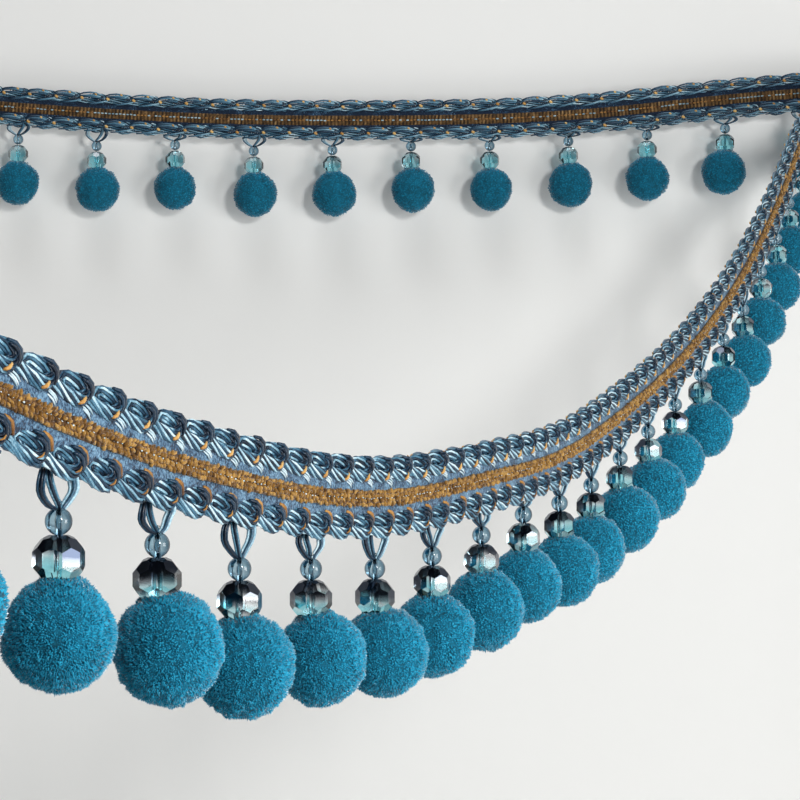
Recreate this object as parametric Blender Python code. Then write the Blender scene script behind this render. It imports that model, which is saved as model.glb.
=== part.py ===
"""Pompom fringe trim: a woven braid with looped gimp edges, hung in a half swag, with a row of
beaded drops along its lower edge. The trim is one length. It starts at the near left, swings down
and up to the right, turns about the place that holds it up, and runs back to the left.

Frame: +X to the right, +Y away from the viewer, +Z up. The origin is just inside the top edge of
the turn, where the trim is held. Sizes are in millimetres until a mesh is made.

Across the braid, "up" runs from the drops to the top edge and "out" points from the reverse to the
front face, which is the outer side of the turn.
"""
import math

import bmesh
import bpy
import numpy as np
from mathutils import Vector, noise

MM = 0.001

# The braid's rhythm
PICOT_PITCH = 12.0
PICOTS_PER_DROP = 3
DROP_PITCH = PICOT_PITCH * PICOTS_PER_DROP

# The braid's section
CLEARANCE = 0.35
GROUND_WIDTH = 8.1
GROUND_THICKNESS = 1.2
STRIPE_WIDTH = 3.6
STRIPE_HEIGHT = 1.5
BRAID_WIDTH = 18.0
GIMP_ROOT = GROUND_WIDTH / 2 + CLEARANCE
GIMP_EDGE = BRAID_WIDTH / 2
GIMP_VALLEY = 7.3
GIMP_ROOT_HALF = 0.9
GIMP_LOBE_HALF = 1.35
GIMP_VALLEY_HALF = 1.0
LOBE_SHARES = (0.3, 0.7)

# The header strip behind the lower gimp, which the hanger loops grow from
HEADER_TOP = -4.5
HANG_LEVEL = -6.0
HEADER_THICKNESS = 1.0
HEADER_OUT = -(GIMP_LOBE_HALF + CLEARANCE + HEADER_THICKNESS / 2)

# One drop, measured down from its hang point
LOOP_HALF_WIDTH = 4.3
LOOP_LEG = 1.5
LOOP_WAIST = 3.0
LOOP_WAIST_HALF = 3.4
LOOP_FOOT_HALF = 1.2
BEADS_AHEAD = 1.2
SMALL_BEAD_TOP = 6.1
FACETED_BEAD_CENTRE = 14.2
BEAD_TO_POMPOM = 12.8
BEAD_SIDES = 8
POMPOM_SIDES = 10
POMPOM_LUMPS = 0.05

# The turned outline of the two beads on one thread: depth below the hang point, radius, and half
# steps by which the ring is turned, so that the large bead gets three-cornered facets
BEAD_RINGS = (
    # depth, radius, half_steps
    (6.6, 1.7, 0),
    (8.2, 2.35, 0),
    (9.8, 1.6, 0),
    (10.6, 2.4, 0),
    (12.5, 4.2, 1),
    (15.9, 4.2, 2),
    (17.4, 2.3, 3),
)
BEAD_FOOT = 17.8

# A pompom's outline before it is made lumpy, as shares of its radius. The hollow at its top seats
# the faceted bead.
POMPOM_HOLLOW = 0.79
POMPOM_RINGS = (
    # height, radius
    (0.94, 0.31),
    (0.62, 0.79),
    (0.10, 1.00),
    (-0.42, 0.91),
    (-0.83, 0.56),
)
POMPOM_FOOT = -1.0

# The centre line of the braid, from the near left cut end to the far left one
ROUTE = (
    # right, away, up
    (-278, -734, -139.4),
    (-258, -687, -152.5),
    (-233, -622, -164.2),
    (-208, -556, -170.3),
    (-182, -489, -168.4),
    (-158, -422, -164),
    (-135, -355, -153),
    (-111, -290, -137),
    (-86, -226, -114),
    (-63, -164, -86),
    (-42, -104, -54),
    (-30.5, -72, -37),
    (-17, -50, -24.5),
    (-3, -33.5, -15.5),
    (7.5, -17, -9.5),
    (0, 0, -7),
    (-16, 8, -7.5),
    (-42, 9, -9.5),
    (-110, 9, -16.5),
    (-202, 9, -20),
    (-294, 9, -19),
    (-406, 9, -12),
)
ROUTE_SAMPLES = 4000

# Every drop from the near left end on: how far it leans to the right, its pompom's size, and how
# much longer than usual its hanger loop is
DROPS = (
    # lean_degrees, diameter, longer
    (4.0, 19.6, 2.0),
    (0.0, 19.6, 1.8),
    (9.0, 20.6, 1.0),
    (4.0, 20.2, 2.6),
    (9.0, 19.8, 1.1),
    (9.0, 19.8, 1.5),
    (1.0, 20.0, 1.4),
    (3.0, 20.4, 0.0),
    (2.0, 19.8, -1.8),
    (6.0, 19.8, -0.4),
    (0.0, 20.2, 0.8),
    (8.0, 20.6, 0.2),
    (9.0, 20.2, 0.0),
    (1.0, 19.6, 0.6),
    (8.0, 19.4, 1.2),
    (0.0, 19.4, 0.7),
    (4.0, 19.8, 2.5),
    (2.0, 19.2, 1.6),
    (0.0, 20.0, 3.0),
    (5.0, 20.0, 2.6),
    (2.0, 20.0, 1.6),
    (0.0, 19.6, 1.0),
    (-3.0, 20.2, 1.0),
    (2.0, 19.8, 1.0),
    (-3.0, 20.4, 0.0),
    (1.0, 20.0, -0.8),
    (4.0, 20.2, -1.2),
    (3.0, 19.6, -0.8),
    (4.0, 20.2, -1.2),
    (4.0, 20.4, 0.4),
    (3.0, 20.2, 1.2),
    (0.0, 19.4, -0.4),
    (2.0, 20.2, 2.0),
    (-1.0, 20.0, 1.4),
)
TRIM_LENGTH = len(DROPS) * DROP_PITCH

# The bent stretch, where the pieces take closer sections
TURN_START = 20 * DROP_PITCH
TURN_END = 24.5 * DROP_PITCH
OPEN_STEP = 12.0
TURN_STEP = 6.0

# name: (base colour, roughness)
FINISHES = {
    "ground_weave": ((0.13, 0.26, 0.40, 1.0), 0.75),
    "gold_chenille": ((0.48, 0.22, 0.06, 1.0), 0.85),
    "gimp_yarn": ((0.16, 0.30, 0.42, 1.0), 0.45),
    "bead_glass": ((0.30, 0.45, 0.52, 1.0), 0.08),
    "pompom_pile": ((0.02, 0.20, 0.32, 1.0), 0.95),
}


def clear_scene():
    for obj in list(bpy.data.objects):
        bpy.data.objects.remove(obj, do_unlink=True)


def make_material(name):
    colour, roughness = FINISHES[name]
    material = bpy.data.materials.new(name)
    material.use_nodes = True
    shader = material.node_tree.nodes["Principled BSDF"]
    shader.inputs["Base Color"].default_value = colour
    shader.inputs["Roughness"].default_value = roughness
    shader.inputs["Metallic"].default_value = 0.0
    return material


class Route:
    """The braid's centre line as a smooth curve, read by the length along it."""

    def __init__(self, rows):
        knots = np.array(rows, dtype=float)
        spans = np.linalg.norm(np.diff(knots, axis=0), axis=1)
        places = np.concatenate([[0.0], np.cumsum(spans)])
        bends = self.natural_bends(places, spans, knots)
        reads = np.linspace(0.0, places[-1], ROUTE_SAMPLES)
        row = np.clip(np.searchsorted(places, reads) - 1, 0, len(spans) - 1)
        span = spans[row][:, None]
        after = (reads[:, None] - places[row][:, None]) / span
        before = 1.0 - after
        bend_before = (before**3 - before) * bends[row]
        bend_after = (after**3 - after) * bends[row + 1]
        straight = before * knots[row] + after * knots[row + 1]
        self.points = straight + (bend_before + bend_after) * span**2 / 6.0
        steps = np.linalg.norm(np.diff(self.points, axis=0), axis=1)
        self.lengths = np.concatenate([[0.0], np.cumsum(steps)])

    @staticmethod
    def natural_bends(places, spans, knots):
        """Second derivatives of the natural cubic spline through the knots."""
        count = len(places)
        matrix = np.eye(count)
        known = np.zeros_like(knots)
        for i in range(1, count - 1):
            matrix[i, i - 1 : i + 2] = spans[i - 1], 2 * (spans[i - 1] + spans[i]), spans[i]
            rise_after = (knots[i + 1] - knots[i]) / spans[i]
            rise_before = (knots[i] - knots[i - 1]) / spans[i - 1]
            known[i] = 6 * (rise_after - rise_before)
        return np.linalg.solve(matrix, known)

    def point(self, along):
        return Vector([np.interp(along, self.lengths, self.points[:, k]) for k in range(3)])

    def frame(self, along):
        """Centre point, tangent, up across the braid, and out of its front face."""
        tangent = (self.point(along + 1.0) - self.point(along - 1.0)).normalized()
        up = Vector((0.0, 0.0, 1.0))
        across = (up - tangent * tangent.z).normalized()
        return self.point(along), tangent, across, tangent.cross(across)

    def place(self, along, level, out):
        centre, _, across, front = self.frame(along)
        return centre + across * level + front * out


def add_object(name, bm, material):
    """Turn millimetres into metres, face the mesh outwards and link it as one named object."""
    bmesh.ops.scale(bm, vec=(MM, MM, MM), verts=bm.verts)
    bmesh.ops.recalc_face_normals(bm, faces=bm.faces)
    mesh = bpy.data.meshes.new(name)
    bm.to_mesh(mesh)
    bm.free()
    mesh.materials.append(material)
    obj = bpy.data.objects.new(name, mesh)
    bpy.context.collection.objects.link(obj)
    return obj


def bridge(bm, ring_a, ring_b):
    """Close the wall between two rings with the same number of points."""
    count = len(ring_a)
    for i in range(count):
        j = (i + 1) % count
        bm.faces.new((ring_a[i], ring_a[j], ring_b[j], ring_b[i]))


def loft(bm, rings):
    """Skin a row of rings and cap both ends."""
    loops = [[bm.verts.new(point) for point in ring] for ring in rings]
    for ring_a, ring_b in zip(loops, loops[1:]):
        bridge(bm, ring_a, ring_b)
    bm.faces.new(loops[0])
    bm.faces.new(loops[-1])
    return loops


def band_stations():
    """Places along the trim for the flat pieces, closer together in the turn."""
    places = [0.0]
    while places[-1] < TRIM_LENGTH - 0.01:
        bent = TURN_START <= places[-1] < TURN_END
        places.append(places[-1] + (TURN_STEP if bent else OPEN_STEP))
    return places


def ground_band(route, material):
    """The flat woven ground between the two gimps."""
    half = GROUND_WIDTH / 2
    thick = GROUND_THICKNESS / 2
    section = ((-half, -thick), (half, -thick), (half, thick), (-half, thick))
    rings = [[route.place(s, level, out) for level, out in section] for s in band_stations()]
    bm = bmesh.new()
    loft(bm, rings)
    add_object("ground_band", bm, material)


def chenille_stripe(route, material):
    """The raised stripe on the front face: two rounded rows of loops with a groove between."""
    half = STRIPE_WIDTH / 2
    foot = GROUND_THICKNESS / 2 + CLEARANCE
    crest = foot + STRIPE_HEIGHT
    groove = foot + 0.75 * STRIPE_HEIGHT
    section = ((-half, foot), (half, foot), (0.6 * half, crest), (0.0, groove), (-0.6 * half, crest))
    rings = [[route.place(s, level, out) for level, out in section] for s in band_stations()]
    bm = bmesh.new()
    loft(bm, rings)
    add_object("chenille_stripe", bm, material)


def gimp(name, side, route, material):
    """A looped edge cord: one lobe for each picot, with a valley between lobes."""
    rings = []
    for picot in range(round(TRIM_LENGTH / PICOT_PITCH)):
        start = picot * PICOT_PITCH
        rings.append(gimp_ring(route, side, start, GIMP_VALLEY, GIMP_VALLEY_HALF))
        for share in LOBE_SHARES:
            along = start + share * PICOT_PITCH
            rings.append(gimp_ring(route, side, along, GIMP_EDGE, GIMP_LOBE_HALF))
    rings.append(gimp_ring(route, side, TRIM_LENGTH, GIMP_VALLEY, GIMP_VALLEY_HALF))
    bm = bmesh.new()
    loft(bm, rings)
    add_object(name, bm, material)


def gimp_ring(route, side, along, edge, half):
    section = ((GIMP_ROOT, GIMP_ROOT_HALF), (edge, half), (edge, -half), (GIMP_ROOT, -GIMP_ROOT_HALF))
    return [route.place(along, side * level, out) for level, out in section]


def drop_frame(route, index):
    """Where a drop hangs along the trim and in space, and level directions along and out."""
    along = (index + 0.5) * DROP_PITCH
    hang = route.place(along, HANG_LEVEL, HEADER_OUT)
    front = route.frame(along)[3]
    return along, hang, Vector((0.0, 0.0, 1.0)).cross(front), front


def header_stations():
    """Places along the header strip, with the two feet of each hanger loop."""
    feet = (-LOOP_HALF_WIDTH, LOOP_LEG - LOOP_HALF_WIDTH, LOOP_HALF_WIDTH - LOOP_LEG, LOOP_HALF_WIDTH)
    places = [0.0]
    for index in range(len(DROPS)):
        along = (index + 0.5) * DROP_PITCH
        places += [along + foot for foot in feet]
        places.append(along + 0.5 * DROP_PITCH)
    bends = [s for s in band_stations() if TURN_START <= s <= TURN_END]
    free = [s for s in bends if all(abs(s - place) > 3.0 for place in places)]
    return sorted(places + free)


def bead_fringe(route, material):
    """The header strip with every hanger loop and the two beads threaded below each loop."""
    bm = bmesh.new()
    places = header_stations()
    back = HEADER_OUT - HEADER_THICKNESS / 2
    front = HEADER_OUT + HEADER_THICKNESS / 2
    section = ((HANG_LEVEL, back), (HEADER_TOP, back), (HEADER_TOP, front), (HANG_LEVEL, front))
    loops = loft(bm, [[route.place(s, level, out) for level, out in section] for s in places])
    for index in range(len(DROPS)):
        along, hang, level_along, out = drop_frame(route, index)
        first = places.index(along - LOOP_HALF_WIDTH)
        left = loops[first], loops[first + 1]
        right = loops[first + 2], loops[first + 3]
        add_drop(bm, left, right, (hang, level_along, out), DROPS[index][2])
    add_object("bead_fringe", bm, material)


def add_drop(bm, left, right, place, longer):
    """One hanger loop and its beads, grown from two faces under the header strip."""
    hang, along, out = place

    def vert(aside, ahead, depth):
        return bm.verts.new(hang + along * aside + out * ahead + Vector((0.0, 0.0, -depth)))

    half = HEADER_THICKNESS / 2
    thick = (BEADS_AHEAD - half, BEADS_AHEAD + half)
    across = (-LOOP_FOOT_HALF, 0.0, LOOP_FOOT_HALF)
    top = [[vert(aside, ahead, SMALL_BEAD_TOP + longer) for ahead in thick] for aside in across]
    inner = LOOP_WAIST_HALF - LOOP_LEG
    grow_leg(bm, vert, left, (-LOOP_WAIST_HALF, -inner), top[0], top[1])
    grow_leg(bm, vert, right, (inner, LOOP_WAIST_HALF), top[1], top[2])
    rings = [bead_ring(vert, depth + longer, *shape) for depth, *shape in BEAD_RINGS]
    cap_bead_top(bm, top, rings[0])
    for ring_a, ring_b in zip(rings, rings[1:]):
        bridge_triangles(bm, ring_a, ring_b)
    bottom = vert(0.0, BEADS_AHEAD, BEAD_FOOT + longer)
    for i in range(BEAD_SIDES):
        bm.faces.new((rings[-1][i], rings[-1][(i + 1) % BEAD_SIDES], bottom))


def grow_leg(bm, vert, strip, sides, foot_left, foot_right):
    """One leg of a hanger loop, from a face of the strip to half of the bead's top."""
    near, far = strip
    root = (near[0], far[0], far[3], near[3])
    bm.faces.remove(bm.faces.get(root))
    half = HEADER_THICKNESS / 2
    corners = ((sides[0], -half), (sides[1], -half), (sides[1], half), (sides[0], half))
    waist = [vert(aside, ahead, LOOP_WAIST) for aside, ahead in corners]
    bridge(bm, root, waist)
    bridge(bm, waist, (foot_left[0], foot_right[0], foot_right[1], foot_left[1]))


def bead_ring(vert, depth, radius, half_steps):
    ring = []
    for i in range(BEAD_SIDES):
        angle = 2 * math.pi * (i + 0.5 * half_steps) / BEAD_SIDES
        ahead = BEADS_AHEAD + radius * math.sin(angle)
        ring.append(vert(radius * math.cos(angle), ahead, depth))
    return ring


def bridge_triangles(bm, ring_a, ring_b):
    """Join two rings with one triangle pair for each side, which keeps turned rings clean."""
    for i in range(BEAD_SIDES):
        j = (i + 1) % BEAD_SIDES
        bm.faces.new((ring_a[i], ring_a[j], ring_b[i]))
        bm.faces.new((ring_a[j], ring_b[j], ring_b[i]))


def cap_bead_top(bm, top, ring):
    """Fill between the loop's foot, six points in two rows, and the bead's first ring."""
    outline = (top[2][0], top[2][1], top[1][1], top[0][1], top[0][0], top[1][0])
    # each row: the outline points and ring points of one face, turning with the ring
    fans = (
        (outline[0], ring[0], outline[1]),
        (outline[1], ring[0], ring[1]),
        (outline[1], ring[1], ring[2], outline[2]),
        (outline[2], ring[2], ring[3], outline[3]),
        (outline[3], ring[3], ring[4]),
        (outline[3], ring[4], outline[4]),
        (outline[4], ring[4], ring[5]),
        (outline[4], ring[5], ring[6], outline[5]),
        (outline[5], ring[6], ring[7], outline[0]),
        (outline[0], ring[7], ring[0]),
    )
    for fan in fans:
        bm.faces.new(fan)


def pompom_place(route, index):
    """Centre of a pompom and the direction from it to its bead."""
    lean_degrees, _, longer = DROPS[index]
    lean = math.radians(lean_degrees)
    _, hang, _, out = drop_frame(route, index)
    bead = hang + out * BEADS_AHEAD + Vector((0.0, 0.0, -FACETED_BEAD_CENTRE - longer))
    axis = Vector((-math.sin(lean), 0.0, math.cos(lean)))
    return bead - axis * BEAD_TO_POMPOM, axis


def pompom(route, index, material):
    """A lumpy ball of cut pile with a hollow on top for the bead."""
    radius = DROPS[index][1] / 2
    centre, axis = pompom_place(route, index)
    turn = Vector((0.0, 0.0, 1.0)).rotation_difference(axis)
    bm = bmesh.new()
    rings = []
    for row, (height, width) in enumerate(POMPOM_RINGS):
        ring = []
        for i in range(POMPOM_SIDES):
            angle = 2 * math.pi * (i + 0.5 * (row % 2)) / POMPOM_SIDES
            ring.append(Vector((width * math.cos(angle), width * math.sin(angle), height)))
        rings.append(ring)
    hollow = Vector((0.0, 0.0, POMPOM_HOLLOW))
    foot = Vector((0.0, 0.0, POMPOM_FOOT))
    for ring in rings[1:]:
        for point in ring:
            lump = noise.noise(point * 1.1 + Vector((7.3 * index, 0.0, 0.0)))
            point *= 1.0 + POMPOM_LUMPS * lump

    def vert(point):
        return bm.verts.new(centre + turn @ (point * radius))

    loops = [[vert(point) for point in ring] for ring in rings]
    top, bottom = vert(hollow), vert(foot)
    for i in range(POMPOM_SIDES):
        j = (i + 1) % POMPOM_SIDES
        bm.faces.new((top, loops[0][i], loops[0][j]))
        bm.faces.new((bottom, loops[-1][j], loops[-1][i]))
        for row, (ring_a, ring_b) in enumerate(zip(loops, loops[1:])):
            if row % 2:
                bm.faces.new((ring_a[i], ring_b[j], ring_b[i]))
                bm.faces.new((ring_a[i], ring_a[j], ring_b[j]))
            else:
                bm.faces.new((ring_a[i], ring_a[j], ring_b[i]))
                bm.faces.new((ring_a[j], ring_b[j], ring_b[i]))
    add_object(f"pompom_{index + 1:02d}", bm, material)


def main():
    clear_scene()
    route = Route(ROUTE)
    materials = {name: make_material(name) for name in FINISHES}
    ground_band(route, materials["ground_weave"])
    chenille_stripe(route, materials["gold_chenille"])
    gimp("upper_gimp", 1, route, materials["gimp_yarn"])
    gimp("lower_gimp", -1, route, materials["gimp_yarn"])
    bead_fringe(route, materials["bead_glass"])
    for index in range(len(DROPS)):
        pompom(route, index, materials["pompom_pile"])


main()
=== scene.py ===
"""The looks of the pompom fringe trim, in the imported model's frame.

One braid makes the whole trim. It has a woven ground, a raised gold stripe on its front face, a ribbed
brown stripe on its reverse, and a gimp of looped cord along each edge. Yarn loops under the lower gimp
carry two glass beads and a pompom each. Across the braid, "level" runs up from the drops to the top edge
and "out" points from the reverse to the front face. Sizes are in millimetres until a mesh is made.
"""
import math
from itertools import combinations

import bpy
import numpy as np
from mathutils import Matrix, Vector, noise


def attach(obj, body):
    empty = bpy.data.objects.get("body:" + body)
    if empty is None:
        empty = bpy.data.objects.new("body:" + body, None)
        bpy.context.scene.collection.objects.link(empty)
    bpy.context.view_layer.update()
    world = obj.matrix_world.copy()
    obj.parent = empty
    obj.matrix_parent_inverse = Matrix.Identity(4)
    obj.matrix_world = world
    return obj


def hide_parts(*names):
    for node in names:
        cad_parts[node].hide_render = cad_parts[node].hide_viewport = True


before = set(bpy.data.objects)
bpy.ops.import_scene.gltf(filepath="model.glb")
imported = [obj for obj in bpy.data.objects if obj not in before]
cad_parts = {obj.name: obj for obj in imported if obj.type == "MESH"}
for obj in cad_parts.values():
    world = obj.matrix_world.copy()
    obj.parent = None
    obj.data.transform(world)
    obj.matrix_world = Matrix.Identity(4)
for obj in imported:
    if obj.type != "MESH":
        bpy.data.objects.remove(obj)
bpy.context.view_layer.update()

MM = 0.001
UP = np.array((0.0, 0.0, 1.0))
TURN = 2.0 * math.pi

# The braid's rhythm and section, as in the solids
PICOT_PITCH = 12.0
DROP_PITCH = 36.0
STRIPE_WIDTH = 3.6
HANG_LEVEL = -6.0
HANG_OUT = -2.2
BEADS_AHEAD = 1.2
SMALL_BEAD_CENTRE = 8.3
FACETED_BEAD_CENTRE = 14.2
BEAD_TO_POMPOM = 12.8

# The beads of the back run sit closer to the braid on their thread
SMALL_BEAD_RAISED = 1.0
FACETED_BEAD_RAISED = 0.6

# The centre line of the braid, from the near left cut end to the far left one
ROUTE = (
    # right, away, up
    (-278, -734, -139.4),
    (-258, -687, -152.5),
    (-233, -622, -164.2),
    (-208, -556, -170.3),
    (-182, -489, -168.4),
    (-158, -422, -164),
    (-135, -355, -153),
    (-111, -290, -137),
    (-86, -226, -114),
    (-63, -164, -86),
    (-42, -104, -54),
    (-30.5, -72, -37),
    (-17, -50, -24.5),
    (-3, -33.5, -15.5),
    (7.5, -17, -9.5),
    (0, 0, -7),
    (-16, 8, -7.5),
    (-42, 9, -9.5),
    (-110, 9, -16.5),
    (-202, 9, -20),
    (-294, 9, -19),
    (-406, 9, -12),
)
ROUTE_SAMPLES = 4000

# Every drop from the near left end on: how far it leans to the right, its pompom's size, how much
# longer than usual its hanger loop is, and how many tufts of pile its pompom shows
DROPS = (
    # lean_degrees, diameter, longer, tufts
    (4.0, 19.6, 2.0, 2200),
    (0.0, 19.6, 1.8, 9400),
    (9.0, 20.6, 1.0, 9400),
    (4.0, 20.2, 2.6, 8200),
    (9.0, 19.8, 1.1, 7200),
    (9.0, 19.8, 1.5, 6500),
    (1.0, 20.0, 1.4, 6000),
    (3.0, 20.4, 0.0, 5500),
    (2.0, 19.8, -1.8, 5000),
    (6.0, 19.8, -0.4, 4500),
    (0.0, 20.2, 0.8, 4200),
    (8.0, 20.6, 0.2, 3800),
    (9.0, 20.2, 0.0, 3400),
    (1.0, 19.6, 0.6, 3000),
    (8.0, 19.4, 1.2, 2800),
    (0.0, 19.4, 0.7, 2600),
    (4.0, 19.8, 2.5, 2600),
    (2.0, 19.2, 1.6, 2200),
    (0.0, 20.0, 3.0, 2200),
    (5.0, 20.0, 2.6, 2200),
    (2.0, 20.0, 1.6, 2200),
    (0.0, 19.6, 1.0, 2200),
    (-3.0, 20.2, 1.0, 2200),
    (2.0, 19.8, 1.0, 2200),
    (-3.0, 20.4, 0.0, 2200),
    (1.0, 20.0, -0.8, 2200),
    (4.0, 20.2, -1.2, 2200),
    (3.0, 19.6, -0.8, 2200),
    (4.0, 20.2, -1.2, 2200),
    (4.0, 20.4, 0.4, 2200),
    (3.0, 20.2, 1.2, 2200),
    (0.0, 19.4, -0.4, 2200),
    (2.0, 20.2, 2.0, 2200),
    (-1.0, 20.0, 1.4, 2200),
)
TRIM_LENGTH = len(DROPS) * DROP_PITCH
PICOTS = round(TRIM_LENGTH / PICOT_PITCH)

# How far away the trim lies where its near run ends and its back run begins
BACK_RUN = (-250.0, -20.0)

# The ground: a woven band with thin edges that the gimps are sewn to
GROUND_COLUMNS = (
    # level, half_thickness
    (-4.9, 0.12),
    (-4.0, 0.24),
    (-3.4, 0.48),
    (-2.9, 0.55),
    (-2.5, 0.50),
    (-2.1, 0.56),
    (-1.0, 0.52),
    (1.0, 0.52),
    (2.1, 0.56),
    (2.5, 0.50),
    (2.9, 0.55),
    (3.4, 0.48),
    (4.0, 0.24),
    (4.9, 0.12),
)
GROUND_STEP = 2.0
GROUND_JOG = 0.035
# Where the margins under the gimps begin, and the tones of the face, of the margins, darker as painted
# shade under the gimps, and of the reverse, darker as painted shade
GROUND_MARGIN = 3.9
FACE_TONE = 0.42
MARGIN_PAINTED_SHADE = 0.1
REVERSE_PAINTED_SHADE = -0.15

# The gold stripe: a backing strip with two rows of loops on each side of a groove
CHENILLE_STEP = 2.0
CHENILLE_BACK = 0.58
CHENILLE_CRESTS = (
    # share of the half width, how far out the backing strip's face is
    (-0.95, 0.75),
    (-0.6, 1.25),
    (0.0, 1.0),
    (0.6, 1.25),
    (0.95, 0.75),
)
CHENILLE_ROWS = (
    # share of the half width, how far out the row of loops is
    (0.28, 1.30),
    (0.74, 1.22),
)
CHENILLE_PITCH = 1.05
CHENILLE_LEAN = 0.9
CHENILLE_LOOP = (0.74, 0.29, 0.5)
FLECK_PITCH = 1.75
FLECK_OUT = 1.36
FLECK = (0.30, 0.17, 0.16)

# The brown stripe of the reverse: ribs across it, and a chain of stitches along its middle
RIB_PITCH = 1.65
RIB_STEPS = 2
RIB_VALLEY = 0.45
RIB_ROOT = -0.5
RIB_BASE = -0.60
RIB_COLUMNS = (
    # level, how far a rib stands out from the base
    (-2.25, 0.0),
    (-1.7, 0.24),
    (0.0, 0.26),
    (1.7, 0.24),
    (2.25, 0.0),
)
CHAIN_OUT = -0.98
CHAIN_LINK = (0.78, 0.34, 0.24)
# The chain is pale for a stretch in every so many drops, and elsewhere in a share of its links
PALE_EVERY = 4 * DROP_PITCH
PALE_STRETCH = 15.0
PALE_SHARE = 0.35

# The gimp: a flat bundle of threads that runs in a row of loops, like a handwritten "e"
GIMP_LEVELS = {"upper_gimp": 6.95, "lower_gimp": -5.45}
# How far the bundle swings along the braid, up and down, and in and out, and how far out its middle is
GIMP_SWEEP = 5.7
GIMP_RISE = 0.95
GIMP_DEPTH = 0.75
GIMP_FORWARD = 0.1
# The dip in each loop: its depth, its place in the turn, and how narrow it is
GIMP_DIP = 1.8
GIMP_DIP_PLACE = math.radians(60.0)
GIMP_DIP_POWER = 6
# How uneven the sweep, the rise, the level and the depth are from loop to loop
GIMP_SWAY = (0.25, 0.07, 0.10, 0.06)
# Places in each turn of a loop, closer together where it bends tightly
GIMP_STEPS = (0.0, 0.09, 0.15, 0.19, 0.22, 0.255, 0.30, 0.37, 0.47, 0.57, 0.64, 0.70, 0.75, 0.81, 0.89)
# The bundle's section, how often it twists in each loop, and how much lighter each of its threads is,
# partly its own colour and partly painted satin highlight
GIMP_HALF_WIDTH = 1.2
GIMP_HALF_THICKNESS = 0.62
GIMP_TWIST = 1.4
GIMP_TONES = (0.34, -0.30, 0.22, -0.36, 0.30, -0.28, 0.36, -0.34, 0.18, -0.30)
GIMP_PAINTED_SHADING = (
    # turns of the loop, tone: painted highlight over its top and along its sweep, painted shade in its
    # middle and right side
    (0.0, 0.58),
    (0.14, 0.52),
    (0.22, 0.18),
    (0.31, 0.08),
    (0.42, 0.25),
    (0.53, 0.62),
    (0.67, 0.50),
    (0.78, 0.10),
    (0.89, 0.30),
    (1.0, 0.58),
)
THREAD_RADIUS = 0.29

# Short threads that come once in every loop. A knot is a length from the loop's start, a height above
# the gimp's level, and how far out it is.
BOTH_GIMPS = ("upper_gimp", "lower_gimp")
LOOP_THREAD_STEPS = 5
LOOP_THREADS = (
    # yarn, gimps, radius, first and last tone, knots; the tones paint highlight and shade along the thread
    ("blue", BOTH_GIMPS, 0.46, 0.22, 0.02,
        ((6.6, 2.0, 0.9), (8.9, 1.7, 1.5), (10.5, 0.2, 1.5), (10.9, -1.4, 0.8))),
    ("blue", BOTH_GIMPS, 0.44, 0.12, 0.06,
        ((6.9, 1.1, 1.2), (8.3, 0.9, 1.7), (9.6, -0.2, 1.7), (10.0, -1.7, 1.1))),
    ("blue", BOTH_GIMPS, 0.50, 0.66, 0.08,
        ((5.0, 1.2, -0.8), (7.8, 2.1, -1.3), (12.0, 1.9, -1.3), (15.4, 0.8, -0.8))),
    ("blue", BOTH_GIMPS, 0.50, 0.80, 0.22,
        ((5.0, 0.7, -0.9), (7.8, 1.2, -1.5), (12.0, 1.0, -1.5), (15.5, 0.3, -0.9))),
    ("blue", BOTH_GIMPS, 0.48, 0.52, 0.10,
        ((5.2, 0.1, -0.8), (8.0, 0.3, -1.4), (11.6, 0.2, -1.4), (14.8, -0.3, -0.8))),
    ("blue", BOTH_GIMPS, 0.52, 0.75, 0.25,
        ((1.8, -1.3, -0.8), (4.8, -2.1, -1.1), (8.2, -2.7, -1.1), (11.4, -3.0, -0.6))),
    ("gold", ("upper_gimp",), 0.42, 0.35, 0.95,
        ((6.2, -3.1, 1.2), (7.1, -2.6, 1.6), (8.0, -1.6, 1.5))),
    ("gold", ("upper_gimp",), 0.18, 0.60, 0.10,
        ((9.4, 2.2, 0.8), (11.2, 1.0, 1.2), (11.7, -0.4, 0.9))),
    ("gold", ("lower_gimp",), 0.50, 0.50, 0.05,
        ((9.5, 2.5, 0.6), (11.5, 1.8, 0.9), (12.5, -0.1, 0.8))),
    ("gold", ("lower_gimp",), 0.21, 0.15, 0.60,
        ((7.3, -2.2, 1.5), (8.3, -1.7, 1.8), (9.1, -0.9, 1.6))),
    ("pale", ("upper_gimp",), 0.22, 0.80, 0.40,
        ((9.2, -3.4, 0.6), (10.6, -4.0, 0.85), (12.0, -4.7, 0.6))),
    ("pale", ("upper_gimp",), 0.22, 0.45, 0.85,
        ((9.5, -2.9, 0.5), (10.9, -3.5, 0.80), (12.3, -4.2, 0.6))),
    ("pale", ("upper_gimp",), 0.22, 0.70, 0.30,
        ((9.8, -2.4, 0.4), (11.2, -3.0, 0.70), (12.6, -3.7, 0.6))),
)
REVERSE_DOTS = (
    # length from the loop's start, height above the gimp's level, size: the gold seen on the reverse
    (7.2, 1.6, 0.8),
    (1.4, -0.6, 1.1),
)
DOT = (0.95, 0.62, 0.55)
DOT_OUT = -1.8


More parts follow.
